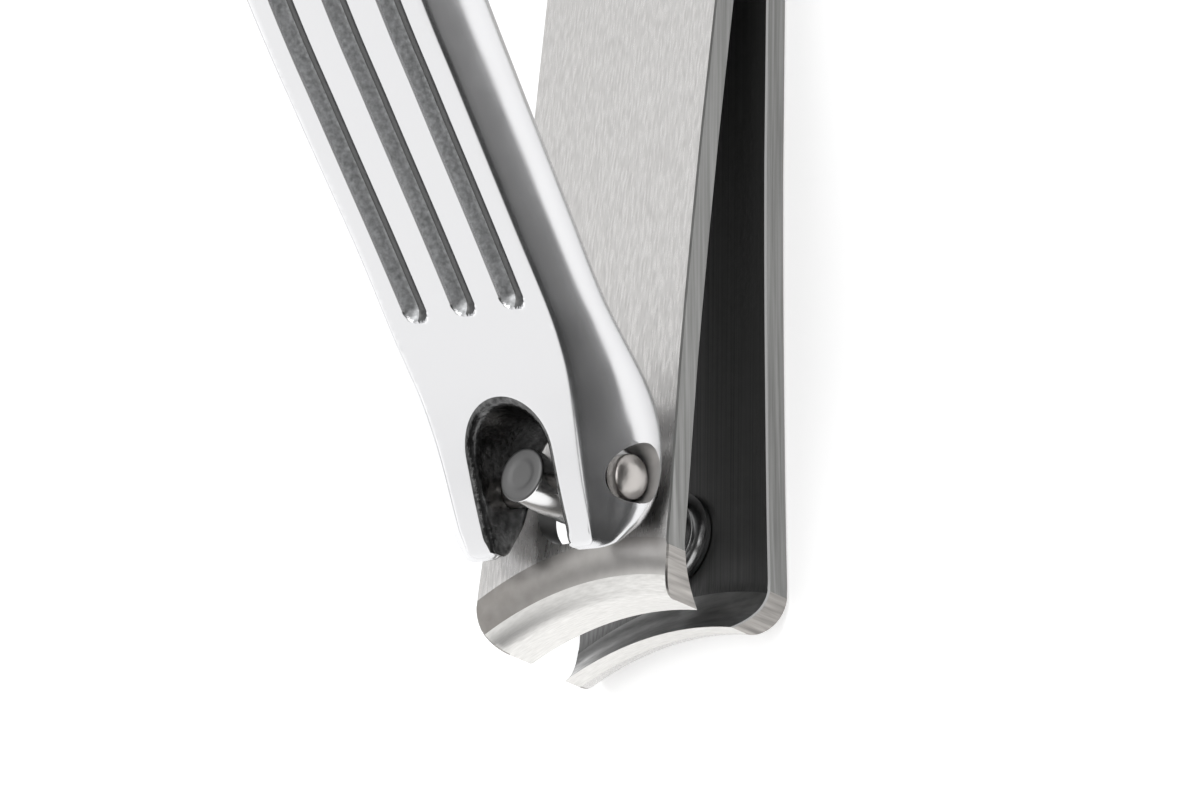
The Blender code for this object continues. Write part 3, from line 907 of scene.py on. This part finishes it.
def upper_heights(x):
    """Bottom and top of the upper blade at x."""
    inner = LOWER_THICKNESS + arm_lift(x)
    outer = inner + UPPER_THICKNESS
    if x > JAW_START:
        inner_share, outer_share = jaw_shares(x)
        inner -= (inner - UPPER_EDGE_Z) * inner_share
        outer -= (outer - UPPER_EDGE_Z - UPPER_FACET) * outer_share
    return inner, outer


def arm_stations():
    """Places along an arm, close together where it is rounded or bends."""
    quarter = math.pi / 2
    rear = [ARM_REAR + REAR_CORNER * (1 - math.cos(a)) for a in spaced(REAR_ANGLE, quarter, REAR_STEPS)]
    seated = spaced(ARM_REAR + REAR_CORNER, SEATED_TO, SEATED_STEPS)
    flex = spaced(SEATED_TO, STRAIGHT_FROM, FLEX_STEPS)
    shank = spaced(STRAIGHT_FROM, 0.0, SHANK_STEPS)
    head = spaced(0.0, JAW_START, HEAD_STEPS)
    jaw = [JAW_START + (ARM_EDGE - JAW_START) * math.sin(a) for a in spaced(0.0, quarter, JAW_STEPS)]
    return rear + seated[1:] + flex[1:] + shank[1:] + head[1:] + jaw[1:]


def blade_ring(x, heights):
    """Points round an arm's section at x, from the left of its bottom, with its long edges broken."""
    bottom, top = heights(x)
    half = half_width(x)
    edge = min(SIDE_BREAK, (top - bottom) * SIDE_BREAK_SHARE)
    inner = half - edge
    across = spaced(-1.0, 1.0, ACROSS_STEPS)
    places = [(x + bow(x) * edge_sagitta(v * inner), v * inner) for v in across]
    side = x + bow(x) * edge_sagitta(half)
    side_z = (bottom + edge, (bottom + top) / 2, top - edge)
    ring = [(px, py, bottom) for px, py in places]
    ring += [(side, half, z) for z in side_z]
    ring += [(px, py, top) for px, py in reversed(places)]
    ring += [(side, -half, z) for z in reversed(side_z)]
    return ring


def blade_mesh(heights, inner_is_top):
    """A blade as a grid of rings, in millimetres from the post."""
    bm = bmesh.new()
    stations = arm_stations()
    rows = [[bm.verts.new(Vector(p) * MM) for p in blade_ring(x, heights)] for x in stations]
    count = len(rows[0])
    top_from = ACROSS_STEPS + 4
    left_from = count - 4
    sides = set(range(ACROSS_STEPS, top_from)) | set(range(left_from, count))
    # the inner arrises get the bright finish: a painted highlight along them
    arrises = {top_from - 1, left_from} if inner_is_top else {ACROSS_STEPS, count - 1}
    inside = set(range(top_from, left_from)) if inner_is_top else set(range(ACROSS_STEPS))
    for x, before, after in zip(stations, rows, rows[1:]):
        for i in range(count):
            j = (i + 1) % count
            face = bm.faces.new((before[i], before[j], after[j], after[i]))
            if i in arrises:
                face.material_index = BRIGHT
            elif i in sides:
                # the sides get the darker side steel, painted shade
                face.material_index = SIDE if x < CROSS_GROUND_X else CROSS_GROUND
            elif i in inside:
                face.material_index = INNER if x < HOLLOW_X else HOLLOW
            elif x > BELLY_X and not inner_is_top:
                face.material_index = BELLY if x < GROUND_X else GROUND
            else:
                face.material_index = BRUSHED
    for row, finish in ((rows[0], SIDE), (rows[-1], GROUND)):
        low = row[: ACROSS_STEPS + 1]
        high = list(reversed(row[top_from : left_from + 1]))
        for a, b, c, d in zip(low, low[1:], high[1:], high):
            bm.faces.new((a, b, c, d)).material_index = finish
        right_side, left_side = row[ACROSS_STEPS + 1 : top_from], row[:left_from:-1]
        for end, points in ((ACROSS_STEPS, right_side), (0, left_side)):
            bm.faces.new([low[end]] + points + [high[end]]).material_index = finish
    bmesh.ops.recalc_face_normals(bm, faces=bm.faces)
    return bm


# Turned pieces, whose profiles are (radius, height) or (radius, height, fillet) points ----------

POST_RADIUS = 1.45
POST_TOP = 13.25
POST_HEAD_RADIUS = 2.6
POST_HEAD_HEIGHT = 0.65
# The dimple in the post's end: the shares of the radius that its floor and its rim reach to
DIMPLE_FLOOR = 0.45
DIMPLE_RIM = 0.62
DIMPLE_DEPTH = 0.06
DIMPLE_RIM_DROP = 0.01
HEAD_RECESS = 0.1
COLLAR_RADIUS = 2.65
COLLAR_HEIGHT = 0.8
COLLAR_RIM = 0.35
COLLAR_FLARE = 0.75
COLLAR_BORE_GAP = 0.02
COLLAR_STEPS = 10
PIN_RADIUS = 0.85
PIN_HEAD_RADIUS = 1.18
PIN_HEAD_THICKNESS = 1.1
PIN_HALF_LENGTH = 6.2
DOME_DROP = 0.35
DOME_STEPS = 12
PIN_RIM = 0.12
RUNNING_FIT = 0.05
RIVET_RADIUS = 0.9
RIVET_HEAD_RADIUS = 2.1
RIVET_HEAD_THICKNESS = 0.4
RIVET_CROWN_SHARE = 0.7
RIVET_CROWN_DROP = 0.02
RIVET_EDGE_DROP = 0.12
FLEX_CLEARANCE = 0.6
HEEL_X = -6.4
HEEL_Z = 1.5
HEEL_RADIUS = 1.1
HEEL_HALF_WIDTH = 2.6
COUNTERSINK_RADIUS = 1.48
COUNTERSINK_FLARE = 0.08
COUNTERSINK_RISE = 0.26
COUNTERSINK_DEPTH = 1.2
COUNTERSINK_FILLET = 0.15
COUNTERSINK_MIDDLE = 6.2
COUNTERSINK_MIDDLE_FLARE = 0.04
COUNTERSINK_OUTER = 7.8
# How much wider the holes are than the post's head, and than a rivet and its heads
POST_HEAD_GAP = 0.08
RIVET_GAP = 0.12
# Heights between which the arms' holes are cut, and how far from the middle the pin's bores reach
LOWER_CUT = (-1.0, 3.0)
UPPER_REAR_CUT = (1.0, 5.0)
UPPER_HEAD_CUT = (5.0, 12.0)
POST_BORE_REACH = 4.0
LEVER_BORE_REACH = 9.0
# Steps round a turned piece, and round an arc of its profile
TURNED_STEPS = 96
SMALL_STEPS = 64
POST_BORE_STEPS = 48
FILLET_STEPS = 4
# Angles that still look smooth, in degrees
SMOOTH_ANGLE = 35.0
BLADE_SMOOTH_ANGLE = 28.0
LEVER_SMOOTH_ANGLE = 40.0
PIN_SMOOTH_ANGLE = 50.0
# A face of the post is its shank's where its normal is flatter than this
LEVEL_NORMAL = 0.5
ON_AXIS = 1e-6
MERGE_DISTANCE = 0.0005


def rounded(profile):
    """Points of a profile in which each corner that has a fillet has become an arc."""
    points = []
    for i, corner in enumerate(profile):
        fillet = corner[2] if len(corner) > 2 else 0.0
        here = Vector(corner[:2])
        if not fillet:
            points.append(here)
            continue
        before = (Vector(profile[i - 1][:2]) - here).normalized()
        after = (Vector(profile[i + 1][:2]) - here).normalized()
        for t in spaced(0.0, 1.0, FILLET_STEPS):
            points.append(here + before * fillet * (1 - t) ** 2 + after * fillet * t**2)
    return points


def turned_mesh(profile, steps=TURNED_STEPS):
    """A body turned about Z from an open profile that starts and ends on the axis, or a closed one."""
    bm = bmesh.new()
    turns = [2 * math.pi * i / steps for i in range(steps)]
    rows = []
    for radius, height in rounded(profile):
        if radius < ON_AXIS:
            rows.append([bm.verts.new((0.0, 0.0, height * MM))])
            continue
        places = [(radius * math.cos(turn), radius * math.sin(turn)) for turn in turns]
        rows.append([bm.verts.new((x * MM, y * MM, height * MM)) for x, y in places])
    pairs = list(zip(rows, rows[1:]))
    if len(rows[0]) > 1 and len(rows[-1]) > 1:
        pairs.append((rows[-1], rows[0]))
    for upper, lower in pairs:
        for i in range(steps):
            j = (i + 1) % steps
            if len(upper) == 1:
                bm.faces.new((upper[0], lower[i], lower[j]))
            elif len(lower) == 1:
                bm.faces.new((upper[j], upper[i], lower[0]))
            else:
                bm.faces.new((upper[i], lower[i], lower[j], upper[j]))
    bmesh.ops.recalc_face_normals(bm, faces=bm.faces)
    return bm


def mirrored(profile):
    """The same profile with its heights turned over."""
    return [(corner[0], -corner[1], *corner[2:]) for corner in profile]


def rod_tool(radius, bottom, top, steps=TURNED_STEPS):
    """A plain rod along Z, to cut or join with."""
    return turned_mesh([(0.0, top), (radius, top), (radius, bottom), (0.0, bottom)], steps)


def sink_profile():
    """The recess round one end of the cross pin, which widens outwards."""
    seat = PIN_HALF_LENGTH - COUNTERSINK_DEPTH
    floor = COUNTERSINK_RADIUS
    return [
        (0.0, seat),
        (floor, seat, COUNTERSINK_FILLET),
        (floor + COUNTERSINK_MIDDLE_FLARE, COUNTERSINK_MIDDLE),
        (floor + COUNTERSINK_FLARE, COUNTERSINK_OUTER),
        (0.0, COUNTERSINK_OUTER),
    ]


def post_profile():
    top = HEAD_RECESS + POST_HEAD_HEIGHT
    return [
        (0.0, POST_TOP - DIMPLE_DEPTH),
        (POST_RADIUS * DIMPLE_FLOOR, POST_TOP - DIMPLE_DEPTH, 0.1),
        (POST_RADIUS * DIMPLE_RIM, POST_TOP - DIMPLE_RIM_DROP, 0.1),
        (POST_RADIUS, POST_TOP, 0.2),
        (POST_RADIUS, top, 0.06),
        (POST_HEAD_RADIUS, top, 0.06),
        (POST_HEAD_RADIUS, HEAD_RECESS, 0.12),
        (0.0, HEAD_RECESS),
    ]


def collar_profile():
    """A flared ring just above the lower blade's inner face."""
    bottom = LOWER_THICKNESS + RUNNING_FIT
    inner = POST_RADIUS + COLLAR_BORE_GAP
    rise = COLLAR_HEIGHT - COLLAR_RIM
    flare = [
        (COLLAR_RADIUS - COLLAR_FLARE * math.sin(a), bottom + COLLAR_RIM + rise * (1 - math.cos(a)))
        for a in spaced(0.0, math.pi / 2, COLLAR_STEPS)
    ]
    return [(inner, bottom + COLLAR_HEIGHT)] + flare[::-1] + [(COLLAR_RADIUS, bottom, 0.05), (inner, bottom)]


def pin_profile():
    """A shank with a domed head at each end."""
    inner = PIN_HALF_LENGTH - PIN_HEAD_THICKNESS
    edge = PIN_HEAD_RADIUS - PIN_RIM
    rim = PIN_HALF_LENGTH - DOME_DROP
    half = [(edge * t, PIN_HALF_LENGTH - DOME_DROP * t * t) for t in spaced(0.0, 1.0, DOME_STEPS)]
    half += [(PIN_HEAD_RADIUS, rim - PIN_RIM, 0.08), (PIN_HEAD_RADIUS, inner), (PIN_RADIUS, inner)]
    return half + mirrored(half[::-1])


def rivet_profile():
    top = LOWER_THICKNESS + SEAT_GAP + UPPER_THICKNESS
    head = RIVET_HEAD_RADIUS
    upper = top - RIVET_HEAD_THICKNESS
    lower = HEAD_RECESS + RIVET_HEAD_THICKNESS
    return [
        (0.0, top),
        (head * RIVET_CROWN_SHARE, top - RIVET_CROWN_DROP),
        (head, top - RIVET_EDGE_DROP, 0.08),
        (head, upper),
        (RIVET_RADIUS, upper),
        (RIVET_RADIUS, lower),
        (head, lower),
        (head, HEAD_RECESS, 0.1),
        (0.0, HEAD_RECESS),
    ]


# Pieces --------------------------------------------------------------------------------------


def soften(mesh, smooth_angle):
    mesh.shade_smooth()
    mesh.set_sharp_from_angle(angle=math.radians(smooth_angle))


def link_piece(name, bm, materials, smooth_angle=SMOOTH_ANGLE):
    mesh = bpy.data.meshes.new(name)
    bm.to_mesh(mesh)
    bm.free()
    soften(mesh, smooth_angle)
    for material in materials:
        mesh.materials.append(material)
    piece = bpy.data.objects.new(name, mesh)
    bpy.context.scene.collection.objects.link(piece)
    return piece


def carve(piece, tools, smooth_angle=SMOOTH_ANGLE):
    """Cuts or joins each (bmesh, matrix, operation, material slot) tool, and keeps only the result."""
    helpers = []
    for i, (bm, matrix, operation, slot) in enumerate(tools):
        for face in bm.faces:
            face.material_index = slot
        tool = link_piece(f"tool_{i}", bm, list(piece.data.materials))
        tool.matrix_world = matrix
        boolean = piece.modifiers.new(tool.name, "BOOLEAN")
        boolean.operation = operation
        boolean.object = tool
        boolean.solver = "MANIFOLD"
        helpers.append(tool)
    bpy.context.view_layer.update()
    graph = bpy.context.evaluated_depsgraph_get()
    result = bpy.data.meshes.new_from_object(piece.evaluated_get(graph))
    piece.modifiers.clear()
    clean = bmesh.new()
    clean.from_mesh(result)
    bmesh.ops.remove_doubles(clean, verts=clean.verts, dist=MERGE_DISTANCE * MM)
    bmesh.ops.dissolve_degenerate(clean, edges=clean.edges, dist=MERGE_DISTANCE * MM)
    clean.to_mesh(result)
    clean.free()
    old = piece.data
    piece.data = result
    bpy.data.meshes.remove(old)
    for tool in helpers:
        data = tool.data
        bpy.data.objects.remove(tool)
        bpy.data.meshes.remove(data)
    soften(piece.data, smooth_angle)


def hole(radius, cut, x=0.0):
    """A tool for carve(): a hole along Z between the two heights of the cut, at x from the post."""
    return rod_tool(radius, *cut), shifted(x), "DIFFERENCE", BORE


def make_blades(finishes):
    materials = [finishes[name] for name in BLADE_FINISHES]
    lower = link_piece("lower_arm_steel", blade_mesh(lower_heights, True), materials)
    upper = link_piece("upper_arm_steel", blade_mesh(upper_heights, False), materials)
    below, above = LOWER_CUT[0], UPPER_REAR_CUT[1]
    post_seat = HEAD_RECESS + POST_HEAD_HEIGHT + RUNNING_FIT
    rivet_foot = HEAD_RECESS + RIVET_HEAD_THICKNESS + RUNNING_FIT
    rivet_seat = LOWER_THICKNESS + SEAT_GAP + UPPER_THICKNESS - RIVET_HEAD_THICKNESS - FLEX_CLEARANCE
    lower_tools = [hole(POST_RADIUS + RUNNING_FIT, LOWER_CUT)]
    lower_tools.append(hole(POST_HEAD_RADIUS + POST_HEAD_GAP, (below, post_seat)))
    upper_tools = [hole(ARM_HOLE_RADIUS, UPPER_HEAD_CUT)]
    for x in RIVETS_X:
        lower_tools.append(hole(RIVET_RADIUS + RIVET_GAP, LOWER_CUT, x))
        lower_tools.append(hole(RIVET_HEAD_RADIUS + RIVET_GAP, (below, rivet_foot), x))
        upper_tools.append(hole(RIVET_RADIUS + RIVET_GAP, UPPER_REAR_CUT, x))
        upper_tools.append(hole(RIVET_HEAD_RADIUS + RIVET_GAP, (rivet_seat, above), x))
    carve(lower, lower_tools, BLADE_SMOOTH_ANGLE)
    carve(upper, upper_tools, BLADE_SMOOTH_ANGLE)
    lower.location.x = POST_X * MM
    upper.location.x = (POST_X - UPPER_SETBACK) * MM
    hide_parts("lower_blade")
    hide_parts("upper_blade")
    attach(lower, "lower_arm")
    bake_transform(upper)


def make_turned(finishes):
    swivel = shifted(POST_X) @ turned_about("Z", -LEVER_SWIVEL)
    level = turned_about("X", 90.0)
    post = link_piece("post_steel", turned_mesh(post_profile()), [finishes[name] for name in POST_FINISHES])
    bore = rod_tool(PIN_RADIUS + RUNNING_FIT, -POST_BORE_REACH, POST_BORE_REACH, POST_BORE_STEPS)
    carve(post, [(bore, shifted(0, 0, PIN_Z) @ level, "DIFFERENCE", POST_BRIGHT)])
    for face in post.data.polygons:
        if abs(face.normal.z) < LEVEL_NORMAL:
            face.material_index = POST_BRIGHT
    post.matrix_world = swivel
    # the collar's dark colour is painted shade of the gap between the arms
    collar = link_piece("collar_painted_shade_steel", turned_mesh(collar_profile()), [finishes["collar_painted_shade_steel"]])
    collar.matrix_world = swivel
    pin = link_piece("pin_steel", turned_mesh(pin_profile()), [finishes["pin_steel"]], PIN_SMOOTH_ANGLE)
    pin.matrix_world = swivel @ shifted(0, 0, PIN_Z) @ level
    made = [
        (post, "post", "turned_steel", "post"),
        (collar, "post_collar", "polished_steel", "post"),
        (pin, "cross_pin", "polished_steel", "cross_pin"),
    ]
    for name, x in zip(("front_rivet", "rear_rivet"), RIVETS_X):
        rivet_mesh = turned_mesh(rivet_profile(), SMALL_STEPS)
        rivet = link_piece(name + "_steel", rivet_mesh, [finishes["bright_steel_and_edge_highlight"]])
        rivet.location.x = (POST_X + x) * MM
        made.append((rivet, name, "turned_steel", "lower_arm"))
    for piece, node, slot, body in made:
        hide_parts(node)
        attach(piece, body)


def make_lever(finishes):
    materials = [finishes[name] for name in LEVER_FINISHES]
    lever = link_piece("lever_casting", lever_mesh(), materials, LEVER_SMOOTH_ANGLE)
    level = turned_about("X", 90.0)
    heel = rod_tool(HEEL_RADIUS, -HEEL_HALF_WIDTH, HEEL_HALF_WIDTH)
    bore = rod_tool(PIN_RADIUS + RUNNING_FIT, -LEVER_BORE_REACH, LEVER_BORE_REACH, SMALL_STEPS)
    tools = [
        (heel, shifted(HEEL_X, 0, HEEL_Z) @ level, "UNION", CHROME),
        # the pin's bore gets the dark slot finish too, painted shade
        (bore, level, "DIFFERENCE", SLOT),
    ]
    for profile in (mirrored(sink_profile()), sink_profile()):
        sink = turned_mesh(profile, SMALL_STEPS)
        tools.append((sink, shifted(0, 0, COUNTERSINK_RISE) @ level, "DIFFERENCE", SINK))
    carve(lever, tools, LEVER_SMOOTH_ANGLE)
    lever.matrix_world = shifted(POST_X, 0, PIN_Z) @ turned_about("Z", -LEVER_SWIVEL)
    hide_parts("lever")
    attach(lever, "lever")


def main():
    bpy.context.scene.view_settings.view_transform = "Standard"
    finishes = make_finishes()
    make_camera()
    make_world()
    make_floor(finishes["pale_floor"])
    make_light()
    make_blades(finishes)
    make_turned(finishes)
    make_lever(finishes)


main()
